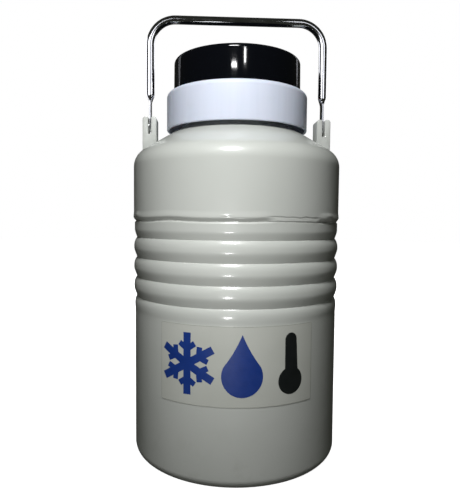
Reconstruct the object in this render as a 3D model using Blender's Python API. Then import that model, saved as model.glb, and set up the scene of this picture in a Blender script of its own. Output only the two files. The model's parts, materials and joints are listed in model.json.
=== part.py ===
"""Portable liquid nitrogen dewar with a 50 mm neck, six canisters, a lift-off lid and a swinging bail.

The frame is metres with +Z up. The origin is the centre of the base, the dewar stands on z = 0, its
label faces -Y, and the bail swings about an axis along X.
"""

import math

import bmesh
import bpy
from mathutils import Matrix, Vector

# ---------------------------------------------------------------- driving dimensions (metres)
FIT_GAP = 0.0003            # clearance left between pieces that touch
BODY_RADIUS = 0.1107        # upper shell
SEAM_RADIUS = 0.1098        # lower shell just under the seam
BEAD_RADIUS = 0.1105        # crest of the rolled beads
LOWER_RADIUS = 0.1092       # plain lower body, where the label is
SHELL_WALL = 0.002
BASE_FILLET = 0.0105        # rounding between the side and the base
BASE_RECESS_RADIUS = 0.080  # inner edge of the ring that the dewar stands on
BASE_RECESS_HEIGHT = 0.010
GROOVES = (0.2310, 0.2102, 0.1895, 0.1688)   # heights of the creases between the beads
GROOVE_DEPTH = 0.0031
SEAM_HEIGHT = 0.2455         # top of the lower shell's full diameter
SEAM_WIDTH = 0.0085
SEAM_OVERLAP = 0.016        # how far the joggled rim reaches up inside the upper shell
CONE_SLOPE = math.radians(31.5)
CONE_POINT = (0.074, 0.339)     # a radius and a height on the shoulder cone
CORNER_RADIUS = 0.0198      # between the side and the cone
CORNER_END = BODY_RADIUS - CORNER_RADIUS * (1.0 - math.sin(CONE_SLOPE))
WALL_TOP = (CONE_POINT[1] - (CORNER_END - CONE_POINT[0]) * math.tan(CONE_SLOPE)
            - CORNER_RADIUS * math.cos(CONE_SLOPE))     # where the side starts to turn inwards
RISER_RADIUS = 0.044        # short upright rim where the cone meets the neck
RISER_TOP = 0.360

NECK_BORE = 0.025           # 50 mm neck
NECK_WALL = 0.002
NECK_BOTTOM = 0.212
FLANGE_RADIUS = 0.052
FLANGE_TOP = 0.3643

INNER_RADIUS = 0.085        # inner vessel, outside
INNER_WALL = 0.002
INNER_CORNER = 0.025
INNER_BOTTOM = 0.058
INNER_SEAM = 0.128
INNER_SHOULDER = 0.178
INNER_SLEEVE_TOP = 0.226

COLLAR_RADIUS = 0.0757
COLLAR_TOP_RADIUS = 0.0692
COLLAR_BOTTOM = 0.3449
COLLAR_TOP = 0.3842
COLLAR_WALL = 0.0028
COLLAR_WEB_THICKNESS = 0.003
COLLAR_HOLE = 0.0365

LID_RADIUS = 0.0682
LID_TOP = 0.4209
LID_ROUNDING = 0.0042
LID_DOME = 0.0015
LID_WALL = 0.0032
PLUG_RADIUS = 0.0192
PLUG_LENGTH = 0.139

CANISTER_COUNT = 6
CANISTER_RADIUS = 0.019
CANISTER_WALL = 0.0008
CANISTER_LENGTH = 0.120
CANISTER_PITCH = 0.0422     # radius of the circle that the canisters stand on
CANISTER_ROD_RADIUS = 0.0015
CANISTER_ROD_PITCH = 0.0214
CANISTER_HOOK_HEIGHT = 0.3725
CANISTER_HOOK_END = 0.052
CANISTER_GRIP_RADIUS = 0.0042
SPIDER_HUB = 0.0085          # the canisters are kept apart at the bottom by fins round a hub
SPIDER_REACH = 0.0550
SPIDER_FIN = 0.0016
SPIDER_HEIGHT = 0.0125
CANISTER_CLEARANCE = 0.0016     # the canisters hang this far above the inner vessel's floor

BAIL_X = 0.0937             # the bail's legs stand at this distance from the centre
BAIL_ROD_RADIUS = 0.0045
BAIL_BEND_RADIUS = 0.027
BAIL_TOP = 0.464            # centre of the grip bar
BAIL_PIVOT = 0.351
BLADE_THICKNESS = 0.0024
BLADE_WIDTH = 0.013
BLADE_TOP = 0.375
ROD_START = 0.384
PIN_RADIUS = 0.003

LUG_WIDTH = 0.0148
LUG_DEPTH = 0.022
LUG_TOP = 0.359
LUG_SLOT = 0.003
LUG_SLOT_BOTTOM = 0.3408
LUG_CORNER = 0.0045

LABEL_BOTTOM = 0.0788
LABEL_TOP = 0.1536
LABEL_THICKNESS = 0.00035
LABEL_FROM = math.radians(-43.2)    # measured from the front, positive towards +X
LABEL_TO = math.radians(38.5)

LARGE_STEPS = 40            # sides of the large turned pieces
MEDIUM_STEPS = 24
SMALL_STEPS = 16
PIN_STEPS = 12


# ---------------------------------------------------------------- tools
def clear_scene():
    for obj in list(bpy.data.objects):
        bpy.data.objects.remove(obj, do_unlink=True)


def finish(name, colour, roughness, metallic=0.0):
    material = bpy.data.materials.new(name)
    material.use_nodes = True
    shader = material.node_tree.nodes["Principled BSDF"]
    shader.inputs["Base Color"].default_value = (*colour, 1.0)
    shader.inputs["Roughness"].default_value = roughness
    shader.inputs["Metallic"].default_value = metallic
    return material


def place(name, mesh, material, parent, location=(0.0, 0.0, 0.0), turn=0.0):
    """Make an object; location is in world coordinates, turn is about Z."""
    obj = bpy.data.objects.new(name, mesh)
    bpy.context.collection.objects.link(obj)
    if not mesh.materials:
        mesh.materials.append(material)
    obj.parent = parent
    obj.location = Vector(location) - parent.location
    obj.rotation_euler = (0.0, 0.0, turn)
    return obj


def joint_empty(name, location, parent=None):
    empty = bpy.data.objects.new(name, None)
    bpy.context.collection.objects.link(empty)
    empty.parent = parent
    empty.location = location
    return empty


def arc(centre, radius, start, end, count):
    """Points (radius, height) on an arc; the angles are in degrees from +X towards +Z."""
    points = []
    for i in range(count + 1):
        angle = math.radians(start + (end - start) * i / count)
        points.append((centre[0] + radius * math.cos(angle), centre[1] + radius * math.sin(angle)))
    return points


def profile_mesh(name, profile):
    """The outline of a turned piece, down its outer side; it closes unless it starts on the axis."""
    edges = [(i, i + 1) for i in range(len(profile) - 1)]
    if profile[0][0] > 0.0:
        edges.append((len(profile) - 1, 0))
    mesh = bpy.data.meshes.new(name)
    mesh.from_pydata([(radius, 0.0, height) for radius, height in profile], edges, [])
    return mesh


def add_turning(obj, steps):
    screw = obj.modifiers.new("turning", "SCREW")
    screw.axis = "Z"
    screw.angle = math.tau
    screw.steps = steps
    screw.render_steps = steps
    screw.use_merge_vertices = True
    screw.merge_threshold = 0.00001
    screw.use_smooth_shade = True


def turned(name, profile, steps, material, parent, location=(0.0, 0.0, 0.0)):
    obj = place(name, profile_mesh(name, profile), material, parent, location)
    add_turning(obj, steps)
    return obj


def as_cutter(obj):
    obj.hide_render = True
    obj.display_type = "WIRE"
    return obj


def cut(obj, cutter):
    boolean = obj.modifiers.new("cut", "BOOLEAN")
    boolean.operation = "DIFFERENCE"
    boolean.solver = "EXACT"
    boolean.object = cutter


def rods_mesh(name, axes, radius, length, steps):
    """Straight round bars in one mesh; each axis is a matrix with the bar along its Z."""
    bm = bmesh.new()
    for matrix in axes:
        bmesh.ops.create_cone(bm, cap_ends=True, segments=steps, radius1=radius, radius2=radius,
                              depth=length, matrix=matrix)
    mesh = bpy.data.meshes.new(name)
    bm.to_mesh(mesh)
    bm.free()
    mesh.shade_smooth()
    mesh.set_sharp_from_angle(angle=math.radians(35.0))
    return mesh


def box_mesh(name, size):
    bm = bmesh.new()
    bmesh.ops.create_cube(bm, size=1.0, matrix=Matrix.Diagonal((*size, 1.0)))
    mesh = bpy.data.meshes.new(name)
    bm.to_mesh(mesh)
    bm.free()
    return mesh


def section(centre, along, across, thickness, width, squareness, steps):
    """A ring of points round a path: an ellipse that squares up as squareness goes from 2 to 4."""
    ring = []
    other = along.cross(across)
    for i in range(steps):
        angle = math.tau * i / steps
        c, s = math.cos(angle), math.sin(angle)
        a = math.copysign(abs(c) ** (2.0 / squareness), c) * thickness
        b = math.copysign(abs(s) ** (2.0 / squareness), s) * width
        ring.append(centre + across * a + other * b)
    return ring


def swept_mesh(name, rings):
    """Bridge a list of equal rings and close both ends."""
    bm = bmesh.new()
    loops = [[bm.verts.new(point) for point in ring] for ring in rings]
    count = len(loops[0])
    for first, second in zip(loops, loops[1:]):
        for i in range(count):
            j = (i + 1) % count
            bm.faces.new((first[i], first[j], second[j], second[i]))
    bm.faces.new(list(reversed(loops[0])))
    bm.faces.new(loops[-1])
    bmesh.ops.recalc_face_normals(bm, faces=bm.faces)
    mesh = bpy.data.meshes.new(name)
    bm.to_mesh(mesh)
    bm.free()
    mesh.shade_smooth()
    mesh.set_sharp_from_angle(angle=math.radians(40.0))
    return mesh


def cone_height(radius):
    return CONE_POINT[1] + (CONE_POINT[0] - radius) * math.tan(CONE_SLOPE)


# ---------------------------------------------------------------- outer shell
def shoulder_outline(inset):
    """The upper shell's surface, set in by a distance, from the riser down to the side wall."""
    angle = math.degrees(CONE_SLOPE)
    corner = (BODY_RADIUS - CORNER_RADIUS, WALL_TOP)
    bend = arc(corner, CORNER_RADIUS - inset, 90.0 - angle, 0.0, 4)
    riser = RISER_RADIUS - inset
    normal_x, normal_z = math.sin(CONE_SLOPE), math.cos(CONE_SLOPE)
    start = (bend[0][0], bend[0][1])
    rise = start[1] + (start[0] - riser) * normal_x / normal_z
    return [(riser, rise)] + bend


def bead_outline(inset, shares):
    """The rolled beads, from the seam down to the plain lower body, set in by a distance.

    The shares say where each bead has its points, from its lower groove (-1) to its upper one (1).
    """
    crest = BEAD_RADIUS - inset
    points = [(SEAM_RADIUS - 0.0002 - inset, GROOVES[0] + 0.0084)]
    for upper, lower in zip(GROOVES, GROOVES[1:]):
        half = (upper - lower) / 2.0
        points.append((crest - GROOVE_DEPTH, upper))
        for share in shares:
            points.append((crest - GROOVE_DEPTH * share ** 2, upper - half + half * share))
    points.append((crest - GROOVE_DEPTH, GROOVES[-1]))
    points.append((LOWER_RADIUS + 0.0003 - inset, GROOVES[-1] - 0.0080))
    points.append((LOWER_RADIUS - inset, GROOVES[-1] - 0.0140))
    return points


def base_outline(inset, fillet_points):
    """The rounding, the standing ring and the recess, from the side wall in to the port's hole."""
    centre = (LOWER_RADIUS - BASE_FILLET, BASE_FILLET)
    points = arc(centre, BASE_FILLET - inset, 0.0, -90.0, fillet_points)
    points.append((BASE_RECESS_RADIUS + inset * 0.4, inset))
    points.append((BASE_RECESS_RADIUS - BASE_RECESS_HEIGHT + inset * 0.4, BASE_RECESS_HEIGHT + inset))
    return points


def make_outer_shell(vessel, paint):
    seam_bottom = SEAM_HEIGHT + SEAM_WIDTH
    upper = [(RISER_RADIUS, RISER_TOP)] + shoulder_outline(0.0) + [(BODY_RADIUS, seam_bottom)]
    upper += [(BODY_RADIUS - SHELL_WALL, seam_bottom)] + shoulder_outline(SHELL_WALL)[::-1]
    upper += [(RISER_RADIUS - SHELL_WALL, RISER_TOP)]
    turned("outer_shell_upper", upper, LARGE_STEPS, paint, vessel)

    rim = BODY_RADIUS - SHELL_WALL - FIT_GAP
    rim_top = SEAM_HEIGHT + SEAM_OVERLAP
    port_hole = 0.0093
    lower = [(rim, rim_top), (rim, SEAM_HEIGHT + 0.0015), (SEAM_RADIUS, SEAM_HEIGHT)]
    lower += bead_outline(0.0, (0.62, 0.0, -0.62)) + base_outline(0.0, 6)
    lower += [(port_hole, BASE_RECESS_HEIGHT), (port_hole, BASE_RECESS_HEIGHT + SHELL_WALL)]
    lower += base_outline(SHELL_WALL, 4)[::-1] + bead_outline(SHELL_WALL, (0.0,))[::-1]
    lower += [(SEAM_RADIUS - SHELL_WALL, SEAM_HEIGHT - 0.001), (rim - SHELL_WALL, SEAM_HEIGHT + 0.0015)]
    lower += [(rim - SHELL_WALL, rim_top)]
    turned("outer_shell_lower", lower, LARGE_STEPS, paint, vessel)

    weld_top = seam_bottom - FIT_GAP
    weld_inside = BODY_RADIUS - SHELL_WALL
    weld = [(BODY_RADIUS, weld_top), (BODY_RADIUS, SEAM_HEIGHT + 0.0003)]
    weld += [(weld_inside, SEAM_HEIGHT + 0.0016), (weld_inside, weld_top)]
    turned("seam_weld", weld, LARGE_STEPS, paint, vessel)


def make_label(vessel, paper):
    """A thin patch that follows the side of the body."""
    outer = LOWER_RADIUS + 0.0009
    inner = outer - LABEL_THICKNESS
    corners = [(inner, LABEL_BOTTOM), (outer, LABEL_BOTTOM), (outer, LABEL_TOP), (inner, LABEL_TOP)]
    steps = 12
    rings = []
    for i in range(steps + 1):
        angle = LABEL_FROM + (LABEL_TO - LABEL_FROM) * i / steps
        direction = Vector((math.sin(angle), -math.cos(angle), 0.0))
        rings.append([direction * radius + Vector((0.0, 0.0, height)) for radius, height in corners])
    place("contents_label", swept_mesh("contents_label", rings), paper, vessel)


# ---------------------------------------------------------------- neck and inner vessel
def make_neck(vessel, aluminium, glass_fibre, white_plastic):
    tube_outside = NECK_BORE + NECK_WALL
    flange_hole = tube_outside + FIT_GAP
    flange_bottom = RISER_TOP + FIT_GAP
    spigot = RISER_RADIUS - SHELL_WALL - FIT_GAP
    flange = [(FLANGE_RADIUS, FLANGE_TOP), (FLANGE_RADIUS, flange_bottom), (spigot, flange_bottom)]
    flange += [(spigot, RISER_TOP - 0.007), (0.038, RISER_TOP - 0.007), (0.038, flange_bottom)]
    flange += [(flange_hole, flange_bottom), (flange_hole, FLANGE_TOP)]
    neck_flange = turned("neck_flange", flange, LARGE_STEPS, aluminium, vessel)

    tube = [(tube_outside, FLANGE_TOP), (tube_outside, NECK_BOTTOM), (NECK_BORE, NECK_BOTTOM)]
    tube += [(NECK_BORE, FLANGE_TOP)]
    turned("neck_tube", tube, MEDIUM_STEPS, glass_fibre, vessel)

    ring_bottom = FLANGE_TOP + FIT_GAP
    ring_top = CANISTER_HOOK_HEIGHT + 0.0005
    ring = [(0.0355, ring_top), (0.0355, ring_bottom), (0.0275, ring_bottom), (0.0275, ring_top)]
    index_ring = turned("index_ring", ring, MEDIUM_STEPS, white_plastic, vessel)
    notch_floor = CANISTER_HOOK_HEIGHT - CANISTER_ROD_RADIUS - FIT_GAP
    notch_height = 0.010
    for i in range(CANISTER_COUNT // 2):
        mesh = box_mesh(f"index_notch_{i}", (0.100, 0.0040, notch_height))
        location = (0.0, 0.0, notch_floor + notch_height / 2.0)
        notch = place(f"index_notch_{i}", mesh, white_plastic, vessel, location, canister_angle(i))
        cut(index_ring, as_cutter(notch))
    return neck_flange


def fins_mesh(name):
    """Upright fins round a hub, one between each two canisters, as one star-shaped bar."""
    half = math.pi / CANISTER_COUNT
    outline = []
    for i in range(CANISTER_COUNT):
        valley = canister_angle(i)
        outline.append((SPIDER_HUB * math.cos(valley), SPIDER_HUB * math.sin(valley)))
        along = Vector((math.cos(valley + half), math.sin(valley + half)))
        side = Vector((-along.y, along.x)) * SPIDER_FIN / 2.0
        root = along * SPIDER_HUB
        tip = along * SPIDER_REACH
        for point in (root - side, tip - side, tip + side, root + side):
            outline.append((point.x, point.y))
    bm = bmesh.new()
    lower = [bm.verts.new((x, y, 0.0)) for x, y in outline]
    upper = [bm.verts.new((x, y, SPIDER_HEIGHT)) for x, y in outline]
    for i in range(len(outline)):
        j = (i + 1) % len(outline)
        bm.faces.new((lower[i], lower[j], upper[j], upper[i]))
    bm.faces.new(lower[::-1])
    bm.faces.new(upper)
    mesh = bpy.data.meshes.new(name)
    bm.to_mesh(mesh)
    bm.free()
    return mesh


def make_inner_vessel(vessel, aluminium, foil, cloth):
    low_centre = (INNER_RADIUS - INNER_CORNER, INNER_BOTTOM + INNER_CORNER)
    high_centre = (INNER_RADIUS - INNER_CORNER, INNER_SHOULDER)
    inside = INNER_RADIUS - INNER_WALL
    corner_inside = INNER_CORNER - INNER_WALL
    lower = [(0.0, INNER_BOTTOM + INNER_WALL)]
    lower += arc(low_centre, corner_inside, -90.0, 0.0, 4)
    lower += [(inside, INNER_SEAM), (INNER_RADIUS, INNER_SEAM)]
    lower += arc(low_centre, INNER_CORNER, 0.0, -90.0, 4) + [(0.0, INNER_BOTTOM)]
    turned("inner_vessel_lower", lower, MEDIUM_STEPS, aluminium, vessel)

    sleeve = NECK_BORE + NECK_WALL + FIT_GAP
    upper = [(sleeve + INNER_WALL, INNER_SLEEVE_TOP), (sleeve + INNER_WALL, 0.2122)]
    upper += arc(high_centre, INNER_CORNER, 90.0, 0.0, 4)
    upper += [(INNER_RADIUS, INNER_SEAM + FIT_GAP), (inside, INNER_SEAM + FIT_GAP)]
    upper += arc(high_centre, corner_inside, 0.0, 90.0, 4)
    upper += [(sleeve, 0.2105), (sleeve, INNER_SLEEVE_TOP)]
    turned("inner_vessel_upper", upper, MEDIUM_STEPS, aluminium, vessel)

    weld_radius = INNER_RADIUS + FIT_GAP
    weld = [(weld_radius + 0.0006, INNER_SEAM + 0.0028), (weld_radius + 0.0012, INNER_SEAM)]
    weld += [(weld_radius + 0.0006, INNER_SEAM - 0.0028), (weld_radius, INNER_SEAM - 0.0030)]
    weld += [(weld_radius, INNER_SEAM + 0.0030)]
    turned("inner_seam_weld", weld, MEDIUM_STEPS, aluminium, vessel)

    blanket = [(0.0, 0.044), (0.061, 0.044), (0.080, 0.052), (0.088, 0.070), (0.088, 0.180)]
    blanket += [(0.081, 0.197), (0.060, 0.2070), (0.031, 0.2145), (0.031, 0.236), (0.034, 0.236)]
    blanket += [(0.062, 0.229), (0.091, 0.209), (0.101, 0.182), (0.101, 0.072), (0.093, 0.046)]
    blanket += [(0.064, 0.032), (0.0, 0.032)]
    turned("insulation_blanket", blanket, MEDIUM_STEPS, foil, vessel)

    pack = [(0.055, 0.056), (0.055, 0.046), (0.015, 0.046), (0.015, 0.056)]
    turned("adsorbent_pack", pack, MEDIUM_STEPS, cloth, vessel)

    floor = INNER_BOTTOM + INNER_WALL + FIT_GAP
    place("canister_spider", fins_mesh("canister_spider"), aluminium, vessel, (0.0, 0.0, floor))


def make_vacuum_port(vessel, aluminium, rubber, white_plastic):
    """The evacuation port in the base recess: a flanged tube, a plug with a seal, and a cap."""
    recess = BASE_RECESS_HEIGHT
    flange_top = recess - FIT_GAP
    port = [(0.0090, 0.030), (0.0090, flange_top), (0.0140, flange_top), (0.0140, flange_top - 0.0022)]
    port += [(0.0065, flange_top - 0.0022), (0.0065, 0.030)]
    turned("vacuum_port", port, SMALL_STEPS, aluminium, vessel)

    plug = [(0.0, 0.022), (0.0061, 0.022), (0.0061, 0.0170), (0.0046, 0.0170), (0.0046, 0.0145)]
    plug += [(0.0061, 0.0145), (0.0061, 0.0070), (0.0085, 0.0070), (0.0085, 0.0050), (0.0, 0.0050)]
    turned("vacuum_plug", plug, SMALL_STEPS, aluminium, vessel)

    seal = arc((0.00555, 0.01575), 0.00062, 90.0, -210.0, 5)
    turned("vacuum_plug_seal", seal, SMALL_STEPS, rubber, vessel)

    cap = [(0.0, 0.0035), (0.0144, 0.0035), (0.0144, flange_top), (0.0160, flange_top)]
    cap += [(0.0160, 0.0030), (0.0150, 0.0020), (0.0, 0.0020)]
    turned("vacuum_port_cap", cap, SMALL_STEPS, white_plastic, vessel)


# ---------------------------------------------------------------- collar
def make_collar(vessel, neck_flange, white_plastic, steel):
    """The plastic ring round the neck, with a skirt outside and a web that three screws hold."""
    inside = COLLAR_RADIUS - COLLAR_WALL
    web_bottom = FLANGE_TOP + FIT_GAP
    web_top = web_bottom + COLLAR_WEB_THICKNESS
    rounding = 0.0058
    rounding_centre = (COLLAR_RADIUS - rounding, COLLAR_TOP - rounding)
    profile = [(COLLAR_TOP_RADIUS - 0.0035, COLLAR_TOP)]
    profile += arc(rounding_centre, rounding, 85.0, 0.0, 4)
    profile += [(COLLAR_RADIUS, COLLAR_BOTTOM), (inside, COLLAR_BOTTOM), (inside, web_bottom)]
    profile += [(COLLAR_HOLE, web_bottom), (COLLAR_HOLE, web_top), (inside, web_top)]
    profile += [(inside, COLLAR_TOP - rounding), (COLLAR_TOP_RADIUS - 0.0035, COLLAR_TOP - 0.0035)]
    collar = turned("neck_collar", profile, LARGE_STEPS, white_plastic, vessel)

    screw_circle = 0.0462
    shank = 0.0019
    hole_bottom = RISER_TOP + 0.0012
    head = [(0.0, web_top + 0.0024), (0.0030, web_top + 0.0022), (0.0036, web_top + 0.0010)]
    head += [(0.0036, web_top + FIT_GAP), (shank, web_top + FIT_GAP), (shank, hole_bottom + FIT_GAP)]
    head += [(0.0, hole_bottom + FIT_GAP)]
    holes = []
    length = web_top - hole_bottom + 0.004
    for i in range(3):
        angle = math.radians(30.0 + 120.0 * i)
        location = Vector((screw_circle * math.cos(angle), screw_circle * math.sin(angle), 0.0))
        turned(f"collar_screw_{i + 1}", head, 12, steel, vessel, location)
        holes.append(Matrix.Translation(location + Vector((0.0, 0.0, hole_bottom + length / 2.0))))
    mesh = rods_mesh("collar_screw_holes", holes, shank + FIT_GAP, length, 12)
    cutter = as_cutter(place("collar_screw_holes", mesh, steel, vessel))
    cut(collar, cutter)
    cut(neck_flange, cutter)


# ---------------------------------------------------------------- lid
def make_lid(lid, black_plastic, white_plastic, foam, steel):
    bottom = COLLAR_TOP + FIT_GAP
    inside = LID_RADIUS - LID_WALL
    edge = LID_TOP - LID_DOME
    centre = (LID_RADIUS - LID_ROUNDING, edge - LID_ROUNDING)
    cap = [(0.0, LID_TOP), (0.030, LID_TOP - LID_DOME * 0.25)]
    cap += arc(centre, LID_ROUNDING, 90.0, 0.0, 5) + [(LID_RADIUS, bottom), (inside, bottom)]
    cap += arc(centre, LID_ROUNDING - LID_WALL, 0.0, 90.0, 3) + [(0.0, LID_TOP - LID_WALL)]
    turned("lid_cap", cap, LARGE_STEPS, black_plastic, lid)

    bolt_radius = 0.0034
    bolt_hole = bolt_radius + FIT_GAP
    plate_top = bottom + 0.003
    plate = [(inside - FIT_GAP, plate_top), (inside - FIT_GAP, bottom), (bolt_hole, bottom)]
    plate += [(bolt_hole, plate_top)]
    turned("lid_base_plate", plate, LARGE_STEPS, white_plastic, lid)

    plug_top = bottom - FIT_GAP
    plug_bottom = plug_top - PLUG_LENGTH
    plug = [(PLUG_RADIUS, plug_top), (PLUG_RADIUS, plug_bottom + 0.002)]
    plug += [(PLUG_RADIUS - 0.002, plug_bottom), (bolt_hole, plug_bottom), (bolt_hole, plug_top)]
    turned("neck_plug", plug, MEDIUM_STEPS, foam, lid)

    washer_top = plug_bottom - FIT_GAP
    washer = [(0.0150, washer_top), (0.0150, washer_top - 0.0020), (bolt_hole, washer_top - 0.0020)]
    washer += [(bolt_hole, washer_top)]
    turned("plug_washer", washer, MEDIUM_STEPS, white_plastic, lid)

    head_top = washer_top - 0.0020 - FIT_GAP
    bolt_top = plate_top + 0.0070
    bolt = [(0.0, bolt_top), (bolt_radius, bolt_top), (bolt_radius, head_top), (0.0065, head_top)]
    bolt += [(0.0065, head_top - 0.0035), (0.0, head_top - 0.0035)]
    turned("plug_bolt", bolt, 12, steel, lid)

    nut_bottom = plate_top + FIT_GAP
    nut = [(0.0075, nut_bottom + 0.0050), (0.0075, nut_bottom), (bolt_hole + 0.0006, nut_bottom)]
    nut += [(bolt_hole + 0.0006, nut_bottom + 0.0050)]
    turned("plug_nut", nut, 6, steel, lid)


# ---------------------------------------------------------------- canisters
def canister_angle(index):
    return math.tau * index / CANISTER_COUNT


def canister_place(index, radius, height):
    angle = canister_angle(index)
    return Vector((radius * math.cos(angle), radius * math.sin(angle), height))


def make_canisters(vessel, aluminium, steel, red_plastic):
    """Six cups that hang by hooked rods on the index ring, each with a grip on its hook."""
    floor = INNER_BOTTOM + INNER_WALL + CANISTER_CLEARANCE
    inside = CANISTER_RADIUS - CANISTER_WALL
    cup = [(0.0, CANISTER_WALL), (inside, CANISTER_WALL), (inside, CANISTER_LENGTH)]
    cup += [(CANISTER_RADIUS, CANISTER_LENGTH), (CANISTER_RADIUS, 0.0), (0.0, 0.0)]
    cup_mesh = profile_mesh("canister_cup", cup)

    hook_bend = 0.004
    foot = Vector((CANISTER_ROD_PITCH, 0.0, floor + 0.008))
    across = Vector((0.0, 1.0, 0.0))
    rings = [section(foot, Vector((0.0, 0.0, 1.0)), across, CANISTER_ROD_RADIUS, CANISTER_ROD_RADIUS, 2.0, 8)]
    for i in range(5):
        angle = math.radians(22.5 * i)
        x = CANISTER_ROD_PITCH + hook_bend * (1.0 - math.cos(angle))
        z = CANISTER_HOOK_HEIGHT - hook_bend * (1.0 - math.sin(angle))
        along = Vector((math.sin(angle), 0.0, math.cos(angle)))
        rings.append(section(Vector((x, 0.0, z)), along, across, CANISTER_ROD_RADIUS,
                             CANISTER_ROD_RADIUS, 2.0, 8))
    end = Vector((CANISTER_HOOK_END, 0.0, CANISTER_HOOK_HEIGHT))
    rings.append(section(end, Vector((1.0, 0.0, 0.0)), across, CANISTER_ROD_RADIUS,
                         CANISTER_ROD_RADIUS, 2.0, 8))
    rod_mesh = swept_mesh("canister_rod", rings)

    socket = CANISTER_ROD_RADIUS + FIT_GAP
    grip_start = 0.0430
    grip = [(0.0, 0.0600), (0.0030, 0.0595), (CANISTER_GRIP_RADIUS, 0.0570)]
    grip += [(CANISTER_GRIP_RADIUS, 0.0445), (0.0034, grip_start), (socket, grip_start)]
    grip += [(socket, CANISTER_HOOK_END + FIT_GAP), (0.0, CANISTER_HOOK_END + FIT_GAP)]
    grip_mesh = profile_mesh("canister_grip", grip)

    for i in range(CANISTER_COUNT):
        number = i + 1
        angle = canister_angle(i)
        joint = joint_empty(f"canister_{number}_lift", canister_place(i, CANISTER_PITCH, floor), vessel)
        cup_obj = place(f"canister_{number}_cup", cup_mesh, aluminium, joint, joint.location)
        add_turning(cup_obj, SMALL_STEPS)
        place(f"canister_{number}_rod", rod_mesh, steel, joint, (0.0, 0.0, 0.0), angle)
        grip_obj = place(f"canister_{number}_grip", grip_mesh, red_plastic, joint,
                         (0.0, 0.0, CANISTER_HOOK_HEIGHT))
        grip_obj.rotation_euler = (0.0, math.radians(90.0), angle)
        add_turning(grip_obj, 12)


# ---------------------------------------------------------------- bail and its lugs
def bail_rings():
    """Sections of the bail from the left foot, over the grip bar, to the right foot."""
    steps = 12
    up = Vector((0.0, 0.0, 1.0))
    inward = Vector((1.0, 0.0, 0.0))
    rounded = BLADE_WIDTH / 2.0
    rings = []
    for drop in (0.95, 0.8, 0.5, 0.0):
        half = rounded * math.sqrt(1.0 - drop ** 2)
        centre = Vector((-BAIL_X, 0.0, BAIL_PIVOT - rounded * drop))
        rings.append(section(centre, up, inward, BLADE_THICKNESS / 2.0, half, 4.0, steps))
    blade_top = Vector((-BAIL_X, 0.0, BLADE_TOP))
    rings.append(section(blade_top, up, inward, BLADE_THICKNESS / 2.0, rounded, 4.0, steps))
    middle = Vector((-BAIL_X, 0.0, (BLADE_TOP + ROD_START) / 2.0))
    rings.append(section(middle, up, inward, 0.0030, 0.0054, 2.6, steps))
    bend_z = BAIL_TOP - BAIL_BEND_RADIUS
    rings.append(section(Vector((-BAIL_X, 0.0, ROD_START)), up, inward, BAIL_ROD_RADIUS,
                         BAIL_ROD_RADIUS, 2.0, steps))
    for i in range(7):
        angle = math.radians(15.0 * i)
        x = -BAIL_X + BAIL_BEND_RADIUS * (1.0 - math.cos(angle))
        z = bend_z + BAIL_BEND_RADIUS * math.sin(angle)
        along = Vector((math.sin(angle), 0.0, math.cos(angle)))
        across = Vector((math.cos(angle), 0.0, -math.sin(angle)))
        rings.append(section(Vector((x, 0.0, z)), along, across, BAIL_ROD_RADIUS,
                             BAIL_ROD_RADIUS, 2.0, steps))
    mirrored = []
    for ring in reversed(rings):
        mirrored.append([Vector((-point.x, point.y, point.z)) for point in ring])
    return rings + mirrored


def make_bail(bail, chrome):
    mesh = swept_mesh("bail_handle", bail_rings())
    handle = place("bail_handle", mesh, chrome, bail, (0.0, 0.0, 0.0))
    across = Matrix.Translation((0.0, 0.0, BAIL_PIVOT)) @ Matrix.Rotation(math.radians(90.0), 4, "Y")
    hole = rods_mesh("bail_pivot_hole", [across], PIN_RADIUS + FIT_GAP, 0.240, PIN_STEPS)
    cut(handle, as_cutter(place("bail_pivot_hole", hole, chrome, bail, (0.0, 0.0, 0.0))))


def lug_outline():
    """The fork seen from the front, about its own middle: a U with rounded outer corners."""
    half = LUG_WIDTH / 2.0
    slot = LUG_SLOT / 2.0
    bottom = cone_height(BAIL_X + LUG_WIDTH / 2.0) - 0.008
    top = LUG_TOP - LUG_CORNER
    outline = [(-half, bottom), (half, bottom)]
    outline += arc((half - LUG_CORNER, top), LUG_CORNER, 0.0, 90.0, 4)
    outline += [(slot, LUG_TOP), (slot, LUG_SLOT_BOTTOM), (-slot, LUG_SLOT_BOTTOM), (-slot, LUG_TOP)]
    outline += arc((LUG_CORNER - half, top), LUG_CORNER, 90.0, 180.0, 4)
    return outline


def lug_mesh():
    bm = bmesh.new()
    ends = []
    for y in (-LUG_DEPTH / 2.0, LUG_DEPTH / 2.0):
        ends.append([bm.verts.new((x, y, z)) for x, z in lug_outline()])
    count = len(ends[0])
    for i in range(count):
        j = (i + 1) % count
        bm.faces.new((ends[0][i], ends[0][j], ends[1][j], ends[1][i]))
    bm.faces.new(ends[0][::-1])
    bm.faces.new(ends[1])
    bmesh.ops.recalc_face_normals(bm, faces=bm.faces)
    mesh = bpy.data.meshes.new("handle_lug")
    bm.to_mesh(mesh)
    bm.free()
    return mesh


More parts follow.
